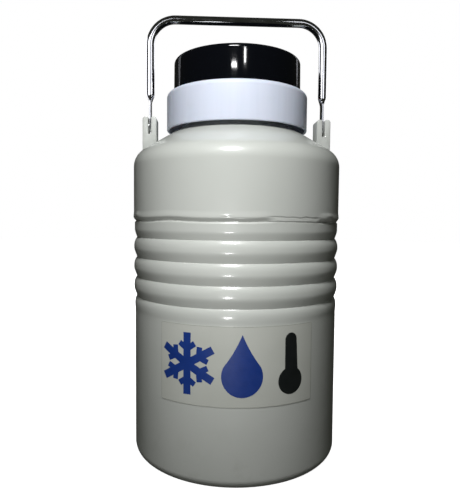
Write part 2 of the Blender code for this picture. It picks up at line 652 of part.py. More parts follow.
def make_lugs(vessel, white_plastic, steel):
    """Two forked lugs stand on the shoulder; a pin through each carries the bail."""
    lift = FIT_GAP / math.cos(CONE_SLOPE)
    seat = [(0.0, cone_height(0.0) + lift), (0.120, cone_height(0.120) + lift)]
    seat += [(0.120, 0.300), (0.0, 0.300)]
    shoulder = as_cutter(turned("lug_seat", seat, LARGE_STEPS, white_plastic, vessel))
    turn = Matrix.Rotation(math.radians(90.0), 4, "Y")
    mesh = lug_mesh()
    pin_length = LUG_WIDTH - 0.0006
    for side, word in ((-1.0, "left"), (1.0, "right")):
        centre = (side * BAIL_X, 0.0, BAIL_PIVOT)
        lug = place(f"handle_lug_{word}", mesh, white_plastic, vessel, (side * BAIL_X, 0.0, 0.0))
        hole = rods_mesh(f"lug_hole_{word}", [turn], PIN_RADIUS + FIT_GAP, 0.030, PIN_STEPS)
        cut(lug, as_cutter(place(f"lug_hole_{word}", hole, steel, vessel, centre)))
        cut(lug, shoulder)
        pin = rods_mesh(f"pivot_pin_{word}", [turn], PIN_RADIUS, pin_length, PIN_STEPS)
        place(f"pivot_pin_{word}", pin, steel, vessel, centre)


# ---------------------------------------------------------------- assembly
def main():
    clear_scene()
    paint = finish("ivory_paint", (0.62, 0.61, 0.56), 0.28)
    white_plastic = finish("white_plastic", (0.80, 0.84, 0.90), 0.45)
    black_plastic = finish("black_plastic", (0.012, 0.013, 0.016), 0.22)
    chrome = finish("chrome", (0.78, 0.78, 0.78), 0.12, 1.0)
    aluminium = finish("aluminium", (0.70, 0.71, 0.72), 0.42, 1.0)
    steel = finish("steel", (0.62, 0.62, 0.62), 0.30, 1.0)
    glass_fibre = finish("glass_fibre", (0.55, 0.50, 0.33), 0.55)
    foil = finish("foil_blanket", (0.75, 0.75, 0.76), 0.35, 0.9)
    cloth = finish("cloth_pack", (0.72, 0.70, 0.64), 0.90)
    rubber = finish("rubber", (0.03, 0.03, 0.03), 0.70)
    foam = finish("foam", (0.82, 0.78, 0.62), 0.95)
    red_plastic = finish("red_plastic", (0.45, 0.05, 0.04), 0.45)
    paper = finish("label_film", (0.80, 0.82, 0.84), 0.35)

    vessel = joint_empty("vessel", (0.0, 0.0, 0.0))
    bail = joint_empty("bail_swing", (0.0, 0.0, BAIL_PIVOT), vessel)
    lid = joint_empty("lid_lift", (0.0, 0.0, COLLAR_TOP), vessel)

    make_outer_shell(vessel, paint)
    make_label(vessel, paper)
    neck_flange = make_neck(vessel, aluminium, glass_fibre, white_plastic)
    make_inner_vessel(vessel, aluminium, foil, cloth)
    make_vacuum_port(vessel, aluminium, rubber, white_plastic)
    make_collar(vessel, neck_flange, white_plastic, steel)
    make_lid(lid, black_plastic, white_plastic, foam, steel)
    make_canisters(vessel, aluminium, steel, red_plastic)
    make_lugs(vessel, white_plastic, steel)
    make_bail(bail, chrome)


main()
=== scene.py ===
"""Looks for the liquid nitrogen dewar: fine meshes, procedural materials, studio and camera.

Units are metres, +Z is up, and angles round the body are measured from the front (-Y) towards +X.
"""

import json
import math

import bmesh
import bpy
from mathutils import Matrix, Vector, noise


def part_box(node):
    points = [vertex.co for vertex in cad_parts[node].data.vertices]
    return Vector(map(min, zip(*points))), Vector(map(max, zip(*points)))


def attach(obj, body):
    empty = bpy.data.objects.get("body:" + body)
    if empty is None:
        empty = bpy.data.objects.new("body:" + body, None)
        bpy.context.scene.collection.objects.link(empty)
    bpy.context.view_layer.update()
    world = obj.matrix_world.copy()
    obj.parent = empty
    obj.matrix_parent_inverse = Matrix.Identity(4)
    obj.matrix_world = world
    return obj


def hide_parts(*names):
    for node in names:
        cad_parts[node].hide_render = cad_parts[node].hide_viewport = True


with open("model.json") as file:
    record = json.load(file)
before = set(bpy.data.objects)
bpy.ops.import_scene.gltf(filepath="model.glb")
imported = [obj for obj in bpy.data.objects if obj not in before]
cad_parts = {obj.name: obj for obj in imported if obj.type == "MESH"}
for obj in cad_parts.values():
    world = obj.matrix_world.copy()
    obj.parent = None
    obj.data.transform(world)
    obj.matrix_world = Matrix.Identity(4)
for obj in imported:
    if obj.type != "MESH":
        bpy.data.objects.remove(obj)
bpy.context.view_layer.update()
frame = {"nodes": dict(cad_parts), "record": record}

# ---------------------------------------------------------------- sizes, where they can from the frame
upper_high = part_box("outer_shell_upper")[1]
collar_low, collar_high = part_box("neck_collar")
lid_low, lid_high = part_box("lid_cap")
bail_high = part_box("bail_handle")[1]
lug_low, lug_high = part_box("handle_lug_right")
label_low, label_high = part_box("contents_label")
pin_low, pin_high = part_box("pivot_pin_right")

BODY_RADIUS = upper_high.x          # the upper shell
SEAM_RADIUS = 0.1098                # the lower shell just under the seam
BEAD_RADIUS = 0.1105                # the beads' crests
LOWER_RADIUS = 0.1092               # the plain side with the label
WALL = 0.002
RISER_TOP = upper_high.z
RISER_RADIUS = 0.044
CONE_SLOPE = math.radians(31.5)
CORNER_RADIUS = 0.0198
CONE_EDGE = (0.1107, 0.3165)        # where the straight side and the cone would meet

GROOVES = (0.2310, 0.2102, 0.1895, 0.1688)  # heights of the creases between the beads
GROOVE_DEPTH = 0.0031
WELD_LOW, WELD_HIGH = 0.2425, 0.2640
WELD_HEIGHT = 0.2484                # the crease under the rolled edge
BASE_FILLET = 0.0105
RECESS_RADIUS = 0.080
RECESS_HEIGHT = 0.010
PORT_HOLE = 0.0093

COLLAR_RADIUS = collar_high.x
COLLAR_BOTTOM, COLLAR_TOP = collar_low.z, collar_high.z
LID_RADIUS = lid_high.x
LID_BOTTOM, LID_TOP = lid_low.z, lid_high.z

PIVOT_HEIGHT = (pin_low.z + pin_high.z) / 2.0
LUG_X = (lug_low.x + lug_high.x) / 2.0
ROD_RADIUS = 0.0045
BEND_RADIUS = 0.027                 # of the rod's centre line
BAR_HEIGHT = bail_high.z - ROD_RADIUS

CAMERA_DISTANCE = 0.5586
CAMERA_HEIGHT = 0.2490
CAMERA_SIDE = math.radians(-3.5)    # a little to the left of the front
CAMERA_PITCH = math.radians(-3.32)
CAMERA_ROLL = math.radians(0.49)
CAMERA_AIM = math.radians(0.64)     # the dewar stands a little right of the frame's middle
CAMERA_LENS = 36.29


# ---------------------------------------------------------------- mesh tools
def make_object(name, points, faces, sharp_degrees=40.0):
    """A mesh object, shaded smooth but for edges where faces meet at more than sharp_degrees."""
    mesh = bpy.data.meshes.new(name)
    mesh.from_pydata([tuple(p) for p in points], [], faces)
    mesh.update()
    mesh.shade_smooth()
    mesh.set_sharp_from_angle(angle=math.radians(sharp_degrees))
    obj = bpy.data.objects.new(name, mesh)
    bpy.context.scene.collection.objects.link(obj)
    return obj


def finish_piece(obj, body, material, slot, *nodes):
    """Give a piece its material, and let it ride on its body in place of its CAD nodes; the slot is not
    used.
    """
    obj.data.materials.append(material)
    if nodes:
        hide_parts(*nodes)
    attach(obj, body)


def rounded(corners, closed=False, segments=6):
    """A flat path through corners (x, y, rounding), without points that all but coincide."""
    least = 1e-5
    path = []
    count = len(corners)
    for i, (x, y, bend) in enumerate(corners):
        here = Vector((x, y))
        inside = closed or 0 < i < count - 1
        if bend <= 0.0 or not inside:
            path.append((x, y))
            continue
        before = Vector(corners[i - 1][:2]) - here
        after = Vector(corners[(i + 1) % count][:2]) - here
        half = before.angle(after) / 2.0
        reach = min(bend / math.tan(half), before.length * 0.499, after.length * 0.499)
        radius = reach * math.tan(half)
        centre = here + (before.normalized() + after.normalized()).normalized() * (radius / math.sin(half))
        start = here + before.normalized() * reach - centre
        end = here + after.normalized() * reach - centre
        turn = start.angle_signed(end)
        for k in range(segments + 1):
            angle = -turn * k / segments
            c, s = math.cos(angle), math.sin(angle)
            point = (centre.x + start.x * c - start.y * s, centre.y + start.x * s + start.y * c)
            if not path or math.dist(point, path[-1]) > least:
                path.append(point)
    return path


def resampled(path, step):
    """The same path with extra points, so that no stretch is longer than step."""
    points = [path[0]]
    for (x0, y0), (x1, y1) in zip(path, path[1:]):
        count = max(1, math.ceil(math.hypot(x1 - x0, y1 - y0) / step))
        for k in range(1, count + 1):
            points.append((x0 + (x1 - x0) * k / count, y0 + (y1 - y0) * k / count))
    return points


def turned(name, path, steps, closed=True, shift=None):
    """A turned surface, its path down the outer side; shift(angle, radius, height) adds to the radius."""
    on_axis = 1e-7                  # anything nearer to the axis is a single point
    points = []
    rows = []
    for radius, height in path:
        if radius < on_axis:
            rows.append([len(points)] * steps)
            points.append((0.0, 0.0, height))
            continue
        rows.append(list(range(len(points), len(points) + steps)))
        for k in range(steps):
            angle = math.tau * k / steps
            r = radius + (shift(angle, radius, height) if shift else 0.0)
            points.append((r * math.sin(angle), -r * math.cos(angle), height))
    faces = []
    pairs = list(zip(rows, rows[1:]))
    if closed and path[0][0] > on_axis:
        pairs.append((rows[-1], rows[0]))
    for upper, lower in pairs:
        for k in range(steps):
            j = (k + 1) % steps
            face = []
            for v in (upper[k], lower[k], lower[j], upper[j]):
                if v not in face:
                    face.append(v)
            if len(face) > 2:
                faces.append(face)
    return make_object(name, points, faces)


def swept(name, rings):
    """A closed tube through rings of equal length."""
    points = [p for ring in rings for p in ring]
    count = len(rings[0])
    faces = []
    for i in range(len(rings) - 1):
        for k in range(count):
            j = (k + 1) % count
            a = i * count
            faces.append((a + k, a + j, a + count + j, a + count + k))
    faces.append(tuple(range(count))[::-1])
    faces.append(tuple(range(len(points) - count, len(points))))
    return make_object(name, points, faces, 50.0)


def wave(x, y, z):
    """Smooth noise from about -1 to 1."""
    return noise.noise(Vector((x, y, z)))


def bump(value, middle, width):
    """A bell: 1 at the middle, fading over the width."""
    return math.exp(-((value - middle) / width) ** 2)


def smooth(low, high, value):
    """0 at low, 1 at high, with level ends; low may be the larger one."""
    t = min(1.0, max(0.0, (value - low) / (high - low)))
    return t * t * (3.0 - 2.0 * t)


def around(angle):
    """An angle as degrees from the front, from -180 to 180."""
    degrees = math.degrees(angle) % 360.0
    return degrees - 360.0 if degrees > 180.0 else degrees


# ---------------------------------------------------------------- material tools
class Nodes:
    """Short calls for the nodes that the materials share."""

    def __init__(self, name):
        self.material = bpy.data.materials.new(name)
        self.material.use_nodes = True
        self.tree = self.material.node_tree
        self.shader = self.tree.nodes["Principled BSDF"]
        self.place = self.tree.nodes.new("ShaderNodeTexCoord").outputs["Object"]

    def link(self, source, target):
        self.tree.links.new(source, target)

    def stretch(self, scale):
        node = self.tree.nodes.new("ShaderNodeMapping")
        node.inputs["Scale"].default_value = scale
        self.link(self.place, node.inputs["Vector"])
        return node.outputs["Vector"]

    def noise(self, scale, detail=3.0, roughness=0.5, where=None):
        node = self.tree.nodes.new("ShaderNodeTexNoise")
        node.inputs["Scale"].default_value = scale
        node.inputs["Detail"].default_value = detail
        node.inputs["Roughness"].default_value = roughness
        self.link(where or self.place, node.inputs["Vector"])
        return node.outputs["Fac"]

    def cells(self, scale):
        node = self.tree.nodes.new("ShaderNodeTexVoronoi")
        node.inputs["Scale"].default_value = scale
        self.link(self.place, node.inputs["Vector"])
        return node.outputs["Distance"]

    def ramp(self, value, stops):
        """Map a value through (position, grey or colour) stops."""
        node = self.tree.nodes.new("ShaderNodeValToRGB")
        elements = node.color_ramp.elements
        while len(elements) < len(stops):
            elements.new(0.5)
        for element, (position, colour) in zip(elements, stops):
            element.position = position
            shade = (colour,) * 3 if isinstance(colour, float) else colour
            element.color = (*shade, 1.0)
        self.link(value, node.inputs["Fac"])
        return node.outputs["Color"]

    def put(self, value, socket):
        """Link a node's output to the socket, or set a number or a colour on it."""
        if isinstance(value, bpy.types.NodeSocket):
            self.link(value, socket)
        elif isinstance(value, float):
            socket.default_value = value
        else:
            socket.default_value = (*value, 1.0)

    def mix(self, factor, first, second):
        node = self.tree.nodes.new("ShaderNodeMix")
        node.data_type = "RGBA"
        for name, value in (("Factor", factor), ("A", first), ("B", second)):
            self.put(value, node.inputs[name])
        return node.outputs["Result"]

    def product(self, first, second):
        node = self.tree.nodes.new("ShaderNodeMath")
        node.operation = "MULTIPLY"
        for socket, value in zip(node.inputs, (first, second)):
            self.put(value, socket)
        return node.outputs["Value"]

    def axis(self, name):
        node = self.tree.nodes.new("ShaderNodeSeparateXYZ")
        self.link(self.place, node.inputs["Vector"])
        return node.outputs[name]

    def colour(self, value):
        self.put(value, self.shader.inputs["Base Color"])

    def rough(self, value):
        self.put(value, self.shader.inputs["Roughness"])

    def bump(self, height, distance, strength, below=None):
        """A relief from a height; below is the normal of a finer relief under it."""
        node = self.tree.nodes.new("ShaderNodeBump")
        node.inputs["Distance"].default_value = distance
        node.inputs["Strength"].default_value = strength
        self.link(height, node.inputs["Height"])
        if below is not None:
            self.link(below, node.inputs["Normal"])
        self.link(node.outputs["Normal"], self.shader.inputs["Normal"])
        return node.outputs["Normal"]

    def set(self, **values):
        """Set the shader's own sockets by name, in lower case with underscores."""
        for name, value in values.items():
            self.shader.inputs[name.replace("_", " ").title().replace("Ior", "IOR")].default_value = value


# ---------------------------------------------------------------- materials
def paint_material():
    """Thick pale grey enamel: orange peel, faint tone changes, a few specks and scuffs near the base."""
    n = Nodes("ivory_paint")
    tone = n.ramp(n.noise(9.0, 4.0), ((0.35, (0.552, 0.570, 0.535)), (0.65, (0.582, 0.598, 0.566))))
    low = n.ramp(n.axis("Z"), ((0.0, 1.0), (0.07, 0.0)))
    dust = n.ramp(n.noise(60.0, 5.0, 0.6), ((0.55, 0.0), (0.75, 1.0)))
    grime = n.mix(n.product(n.product(dust, low), 0.22), tone, (0.30, 0.30, 0.25))
    speck = n.ramp(n.cells(150.0), ((0.030, 1.0), (0.050, 0.0)))
    rare = n.ramp(n.noise(26.0, 2.0), ((0.66, 0.0), (0.70, 1.0)))
    marks = n.mix(n.product(n.product(speck, rare), 0.35), grime, (0.24, 0.235, 0.21))
    n.colour(marks)
    n.rough(n.ramp(n.noise(30.0, 4.0), ((0.3, 0.40), (0.7, 0.50))))
    peel = n.bump(n.noise(420.0, 2.0, 0.5), 0.00010, 0.13)
    n.bump(n.noise(48.0, 2.0, 0.4), 0.0010, 0.15, below=peel)
    n.set(coat_weight=0.9, coat_roughness=0.16, specular_ior_level=0.35)
    return n.material


def collar_material():
    """Cool white moulded plastic with fine upright draw marks and a little handling dirt."""
    n = Nodes("white_plastic")
    upright = n.stretch((1.0, 1.0, 0.04))
    streak = n.noise(160.0, 3.0, 0.6, upright)
    tone = n.ramp(streak, ((0.3, (0.625, 0.668, 0.785)), (0.7, (0.655, 0.698, 0.815))))
    dirt = n.ramp(n.noise(42.0, 5.0, 0.65), ((0.60, 0.0), (0.78, 0.20)))
    n.colour(n.mix(dirt, tone, (0.50, 0.51, 0.55)))
    n.rough(n.ramp(streak, ((0.3, 0.48), (0.7, 0.58))))
    n.bump(n.noise(700.0, 2.0), 0.00008, 0.3)
    n.set(subsurface_weight=0.05, subsurface_scale=0.003)
    return n.material


def lid_material():
    """Glossy black moulding with a cool cast, fine wiping scratches and dust."""
    n = Nodes("black_plastic")
    dust = n.ramp(n.cells(520.0), ((0.05, 1.0), (0.10, 0.0)))
    rare = n.ramp(n.noise(50.0, 3.0), ((0.62, 0.0), (0.72, 0.25)))
    n.colour(n.mix(n.product(dust, rare), (0.0022, 0.0026, 0.0040), (0.05, 0.05, 0.055)))
    scratch = n.noise(260.0, 4.0, 0.7, n.stretch((1.0, 1.0, 7.0)))
    n.rough(n.ramp(scratch, ((0.35, 0.055), (0.75, 0.11))))
    n.bump(n.noise(55.0, 2.0), 0.0003, 0.08)
    n.set(specular_ior_level=0.30)
    return n.material


def chrome_material():
    """Polished wire with faint drawing lines and small marks."""
    n = Nodes("chrome")
    smudge = n.noise(90.0, 4.0, 0.6)
    n.colour(n.ramp(smudge, ((0.35, (0.60, 0.61, 0.64)), (0.65, (0.74, 0.75, 0.78)))))
    n.rough(n.ramp(smudge, ((0.35, 0.07), (0.75, 0.15))))
    n.bump(n.noise(900.0, 2.0), 0.00002, 0.05)
    n.set(metallic=1.0)
    return n.material


def lug_material():
    """The same enamel as the body, brushed thick over the lug's edges."""
    n = Nodes("lug_paint")
    n.colour(n.ramp(n.noise(70.0, 4.0), ((0.35, (0.55, 0.565, 0.535)), (0.65, (0.60, 0.615, 0.59)))))
    n.rough(n.ramp(n.noise(50.0, 3.0), ((0.3, 0.28), (0.7, 0.38))))
    n.bump(n.noise(300.0, 2.0), 0.0002, 0.35)
    n.set(coat_weight=0.5, coat_roughness=0.10)
    return n.material


def film_material():
    """Clear-backed film: a shade darker and flatter than the paint, with faint bubbles."""
    n = Nodes("label_film")
    n.colour(n.ramp(n.noise(24.0, 4.0), ((0.35, (0.515, 0.528, 0.482)), (0.65, (0.545, 0.556, 0.512)))))
    n.rough(n.ramp(n.noise(80.0, 3.0), ((0.3, 0.48), (0.7, 0.58))))
    bubbles = n.bump(n.ramp(n.cells(120.0), ((0.0, 1.0), (0.22, 0.0))), 0.00015, 0.15)
    n.bump(n.noise(30.0, 3.0), 0.0006, 0.25, below=bubbles)
    n.set(specular_ior_level=0.2)
    return n.material


def ink_material(name, colour):
    """Printed vinyl: flat colour with slight unevenness."""
    n = Nodes(name)
    light = tuple(min(1.0, c * 1.12 + 0.002) for c in colour)
    n.colour(n.ramp(n.noise(110.0, 4.0), ((0.35, colour), (0.65, light))))
    n.rough(n.ramp(n.noise(200.0, 3.0), ((0.3, 0.34), (0.7, 0.46))))
    n.bump(n.noise(600.0, 2.0), 0.00004, 0.3)
    return n.material


def metal_material(name, colour, roughness, stretch):
    """Turned or drawn metal: lines along one direction, set by the stretch."""
    n = Nodes(name)
    lines = n.noise(45.0, 4.0, 0.6, n.stretch(stretch))
    dark = tuple(c * 0.82 for c in colour)
    n.colour(n.ramp(lines, ((0.3, dark), (0.7, colour))))
    n.rough(n.ramp(lines, ((0.3, roughness), (0.7, roughness + 0.14))))
    n.bump(lines, 0.00005, 0.4)
    n.set(metallic=1.0)
    return n.material


def plain_material(name, dark, light, roughness, scale, depth):
    """A soft or matt surface: two tones, uneven roughness and a fine relief."""
    n = Nodes(name)
    grain = n.noise(scale, 5.0, 0.6)
    n.colour(n.ramp(grain, ((0.3, dark), (0.7, light))))
    n.rough(n.ramp(grain, ((0.3, roughness - 0.06), (0.7, roughness + 0.06))))
    n.bump(grain, depth, 0.5)
    return n.material


def foil_material():
    """Crumpled metallised film."""
    n = Nodes("foil_blanket")
    crumple = n.cells(70.0)
    n.colour(n.ramp(crumple, ((0.1, (0.58, 0.58, 0.60)), (0.6, (0.80, 0.80, 0.82)))))
    n.rough(n.ramp(crumple, ((0.1, 0.20), (0.6, 0.36))))
    n.bump(crumple, 0.0015, 0.7)
    n.set(metallic=0.9)
    return n.material


# ---------------------------------------------------------------- outer shell
def cone_height(radius):
    """Height of the shoulder cone at a radius."""
    return CONE_EDGE[1] + (CONE_EDGE[0] - radius) * math.tan(CONE_SLOPE)


def wall_shift(angle, radius, height):
    """The sheet's slight unevenness: a fraction of a millimetre, fading towards the neck and the port."""
    x, y = math.sin(angle), math.cos(angle)
    long_wave = wave(x * 2.1 + 5.0, y * 2.1, height * 9.0) * 0.00018
    short_wave = wave(x * 7.0, y * 7.0 + 3.0, height * 34.0) * 0.00005
    return (long_wave + short_wave) * smooth(0.045, 0.07, radius)


def undercut(share):
    """The lower side of a bead: 0 at its crest, 1 in the crease; a straight slope after a short bend."""
    bend = 0.3
    return (math.hypot(share, bend) - bend) / (math.hypot(1.0, bend) - bend)


def rolled(share):
    """The upper side of a bead: 1 in the crease, 0 at its crest, and late to turn in."""
    return (1.0 - share) ** 2.7


def bead_path():
    """From the seam down to the plain side: rolled beads, sloped in below, that meet in narrow creases."""
    floor = BEAD_RADIUS - GROOVE_DEPTH

    def side(crest, top, bottom, profile):
        shares = [k / 10.0 for k in range(1, 11)]
        return [(crest - (crest - floor) * profile(t), top + (bottom - top) * t) for t in shares]

    first, last = GROOVES[0], GROOVES[-1]
    slope, swell_height, settle_height = 0.0086, 0.0085, 0.0065
    path = [(SEAM_RADIUS, first + slope)] + side(SEAM_RADIUS, first + slope, first, undercut)
    for upper, lower in zip(GROOVES, GROOVES[1:]):
        middle = (upper + lower) / 2.0
        path += side(BEAD_RADIUS, upper, middle, rolled) + side(BEAD_RADIUS, middle, lower, undercut)

    swell = 0.0004                  # the side bulges this much under the last crease
    settle = last - swell_height
    path += side(LOWER_RADIUS + swell, last, settle, rolled)
    for k in range(1, 6):
        t = k / 5.0
        path.append((LOWER_RADIUS + swell * smooth(1.0, 0.0, t), settle - settle_height * t))
    return path


def lap_profile(up):
    """The rolled lap: radius at a height over the crease, from the lower shell to the upper one."""
    bulge, crease, lap_height = 0.0005, 0.0010, 0.0042
    crest = BODY_RADIUS + bulge
    if up < 0.0:
        return SEAM_RADIUS - crease * (1.0 - smooth(0.0, 0.0020, -up))
    if up < lap_height:
        return crest - (crest - SEAM_RADIUS + crease) * undercut(1.0 - up / lap_height)
    return BODY_RADIUS + bulge * (1.0 - smooth(lap_height, 0.0100, up))


# Lumps on the lap: size, degrees from the front, width in degrees, height over the crease, width in height.
LAP_LUMPS = (
    (0.0007, 52.0, 4.5, 0.0066, 0.0022),
    (0.0006, -67.0, 3.5, 0.0062, 0.0024),
    (0.0005, -8.0, 2.2, 0.0056, 0.0009),
    (0.0004, -1.2, 3.2, 0.0020, 0.0007),
)


def weld_radius(angle, height):
    """The seam's surface: a rolled lap with a crease under it, and a lumpy welded run on the right."""
    x, y = math.sin(angle), math.cos(angle)
    degrees = around(angle)
    drift = wave(x * 2.5, y * 2.5, 1.7) * 0.0010 + wave(x * 9.0, y * 9.0, 4.2) * 0.0004
    up = height - WELD_HEIGHT - drift

    lap = lap_profile(up)
    deeper = smooth(46.0, 51.0, degrees) * (1.0 - smooth(57.0, 60.0, degrees))
    deeper += 0.5 * smooth(-60.0, -75.0, degrees) * smooth(-95.0, -85.0, degrees)
    lap -= 0.0007 * bump(up, 0.0003, 0.0009) * deeper
    for size, middle, spread, rise, thick in LAP_LUMPS:
        lap += size * bump(degrees, middle, spread) * bump(up, rise, thick)

    wander = 0.0009 * wave(x * 12.0, y * 12.0, 6.0)
    climb = 0.5 * smooth(-0.0005, 0.0009, up) + 0.5 * smooth(0.0036, 0.0048, up + wander)
    strip = SEAM_RADIUS + (BODY_RADIUS - SEAM_RADIUS) * climb
    strip -= 0.00014 * bump(up, -0.0003, 0.0007) + 0.00010 * bump(up + wander, 0.0038, 0.0008)
    ripple = wave(x * 22.0, y * 22.0, height * 300.0) * 0.00024
    ripple += wave(x * 60.0, y * 60.0, height * 700.0) * 0.00007
    strip += ripple * bump(up, 0.0020, 0.0036)

    rough = smooth(9.0, 16.0, degrees) * (1.0 - smooth(40.0, 47.0, degrees))
    behind = smooth(88.0, 110.0, abs(degrees)) * smooth(0.05, 0.35, wave(x * 1.6 + 8.0, y * 1.6, 2.2))
    surface = lap + (strip - lap) * max(rough, behind)
    if height < WELD_HEIGHT:
        return SEAM_RADIUS + (surface - SEAM_RADIUS) * smooth(WELD_LOW, WELD_LOW + 0.002, height)
    return BODY_RADIUS + (surface - BODY_RADIUS) * smooth(WELD_HIGH, WELD_HIGH - 0.003, height)


def make_upper_shell(paint):
    """Neck riser, cone, rounded corner and the straight side down to the seam."""
    steps = 240
    riser_base = cone_height(RISER_RADIUS)
    outside = rounded([(RISER_RADIUS, RISER_TOP, 0.0), (RISER_RADIUS, riser_base, 0.002),
                       (*CONE_EDGE, CORNER_RADIUS), (BODY_RADIUS, WELD_HIGH, 0.0)], segments=14)
    inside = [(BODY_RADIUS - WALL, WELD_HIGH), (BODY_RADIUS - WALL, CONE_EDGE[1] - 0.006),
              (RISER_RADIUS - WALL, riser_base - WALL), (RISER_RADIUS - WALL, RISER_TOP)]
    upper = turned("upper_shell", resampled(outside, 0.004) + inside, steps, shift=wall_shift)
    finish_piece(upper, "vessel", paint, "ivory_paint", "outer_shell_upper")


def make_lower_shell(paint):
    """Beads, plain side, rounded base ring and the recess with the port's hole."""
    steps = 240
    floor_radius = RECESS_RADIUS - RECESS_HEIGHT
    *beads, side_top = bead_path()
    base = [(*side_top, 0.0), (LOWER_RADIUS, 0.0, BASE_FILLET), (RECESS_RADIUS, 0.0, 0.003),
            (floor_radius, RECESS_HEIGHT, 0.004), (PORT_HOLE, RECESS_HEIGHT, 0.0)]
    outside = [(SEAM_RADIUS, WELD_LOW)] + beads + resampled(rounded(base, segments=22), 0.004)
    inside = [(PORT_HOLE, RECESS_HEIGHT + WALL), (floor_radius, RECESS_HEIGHT + WALL),
              (RECESS_RADIUS, WALL), (LOWER_RADIUS - BASE_FILLET, WALL)]
    reach = BASE_FILLET - WALL
    for k in range(1, 7):
        angle = math.radians(15.0 * k)
        inside.append((LOWER_RADIUS - BASE_FILLET + reach * math.sin(angle),
                       BASE_FILLET - reach * math.cos(angle)))
    inside.append((BEAD_RADIUS - GROOVE_DEPTH - WALL, WELD_LOW))
    lower = turned("lower_shell", outside + inside, steps, shift=wall_shift)
    finish_piece(lower, "vessel", paint, "ivory_paint", "outer_shell_lower")


def make_weld(paint):
    """The band over the seam, fine enough for the rolled lap and its lumps."""
    rows, steps = 84, 960
    inner = SEAM_RADIUS - 0.0020
    path = [(BODY_RADIUS, WELD_HIGH - (WELD_HIGH - WELD_LOW) * k / rows) for k in range(rows + 1)]
    path += [(inner, WELD_LOW), (inner, WELD_HIGH)]

    def weld_shift(angle, radius, height):
        if radius == inner:
            return 0.0
        return wall_shift(angle, radius, height) + weld_radius(angle, height) - BODY_RADIUS

    weld = turned("weld_band", path, steps, shift=weld_shift)
    finish_piece(weld, "vessel", paint, "ivory_paint", "seam_weld")


# ---------------------------------------------------------------- label
def from_lowest(corners):
    """A face's corners from the lowest index on; bmesh starts and sorts them in no fixed way."""
    first = corners.index(min(corners))
    return corners[first:] + corners[:first]


def wrapped(name, outline, middle, height, lift, thick):
    """A flat outline (across, up) wrapped on the lower body at an angle and a height, as a thin solid."""
    spacing, snap = 0.003, 1e-5     # between the upright cuts that let it bend, and of a cut to a corner
    bm = bmesh.new()
    bm.faces.new([bm.verts.new((x, 0.0, y)) for x, y in outline])
    bm.normal_update()
    bmesh.ops.triangulate(bm, faces=bm.faces[:], ngon_method="EAR_CLIP")
    low = min(x for x, _ in outline)
    high = max(x for x, _ in outline)
    count = int((high - low) / spacing)
    for k in range(1, count + 1):
        x = low + (high - low) * k / (count + 1)
        geom = bm.verts[:] + bm.edges[:] + bm.faces[:]
        bmesh.ops.bisect_plane(bm, geom=geom, dist=snap, plane_co=(x, 0.0, 0.0), plane_no=(1.0, 0.0, 0.0))
    bmesh.ops.dissolve_degenerate(bm, dist=snap, edges=bm.edges[:])
    result = bmesh.ops.extrude_face_region(bm, geom=bm.faces[:])
    outer = {v for v in result["geom"] if isinstance(v, bmesh.types.BMVert)}
    for v in bm.verts:
        angle = middle + v.co.x / LOWER_RADIUS
        radius = LOWER_RADIUS + lift + (thick if v in outer else 0.0)
        v.co = Vector((radius * math.sin(angle), -radius * math.cos(angle), height + v.co.z))
    bmesh.ops.recalc_face_normals(bm, faces=bm.faces[:])
    bm.verts.index_update()
    points = [v.co.copy() for v in bm.verts]
    faces = sorted(from_lowest([v.index for v in face.verts]) for face in bm.faces)
    bm.free()
    return make_object(name, points, faces)


def arc(radius, start, end, count, centre):
    """Points round a centre from one angle in degrees up to, and without, another."""
    points = []
    for k in range(count):
        angle = math.radians(start + (end - start) * k / count)
        points.append((centre[0] + radius * math.cos(angle), centre[1] + radius * math.sin(angle)))
    return points


def snowflake_outline(radius, width):
    """Six arms from the middle, each with a pair of short barbs, as one outline."""
    half = width / 2.0
    barb_at, barb_long, barb_half = radius * 0.56, radius * 0.17, half * 0.72
    lean = math.radians(55.0)
    reach = Vector((math.sin(lean), math.cos(lean)))
    across = Vector((reach.y, -reach.x)) * barb_half
    root = Vector((half, barb_at))
    spread = Vector((0.0, barb_half / math.sin(lean)))
    tip = root + reach * barb_long
    right = [root - spread, tip + across, tip - across, root + spread, Vector((half, radius))]
    valley = Vector((-half, half / math.tan(math.radians(30.0))))
    arm = [valley] + [Vector((-p.x, p.y)) for p in right] + right[::-1]
    points = []
    for k in range(6):
        turn = Matrix.Rotation(math.radians(-60.0 * k), 2)
        points += [turn @ p for p in arm]
    return [(p.x, p.y) for p in points]


def drop_outline(width, height):
    """A water drop: a round base drawn up to a point."""
    radius = width / 2.0
    centre = -height / 2.0 + radius
    points = arc(radius, -215.0, 35.0, 40, (0.0, centre))
    tip = Vector((0.0, height / 2.0))
    start = Vector(points[-1])
    bend = Vector((start.x * 0.42, centre + height * 0.38))
    side = []
    for k in range(1, 7):
        t = k / 7.0
        side.append((1 - t) ** 2 * start + 2 * t * (1 - t) * bend + t * t * tip)
    points += [(p.x, p.y) for p in side] + [(tip.x, tip.y)]
    points += [(-p.x, p.y) for p in reversed(side)]
    return points


def thermometer_outline(bulb, stem, height):
    """A stem with a round top over a round bulb."""
    half = stem / 2.0
    centre = -height / 2.0 + bulb
    start = math.degrees(math.acos(half / bulb))
    points = arc(bulb, -180.0 - start, start, 36, (0.0, centre))
    top = height / 2.0 - half
    points += arc(half, 0.0, 180.0, 16, (0.0, top)) + [(-half, top)]
    return points


def rectangle(x, y, width, height):
    """The four corners of an upright rectangle about a point."""
    return [(x - width / 2.0, y - height / 2.0), (x + width / 2.0, y - height / 2.0),
            (x + width / 2.0, y + height / 2.0), (x - width / 2.0, y + height / 2.0)]


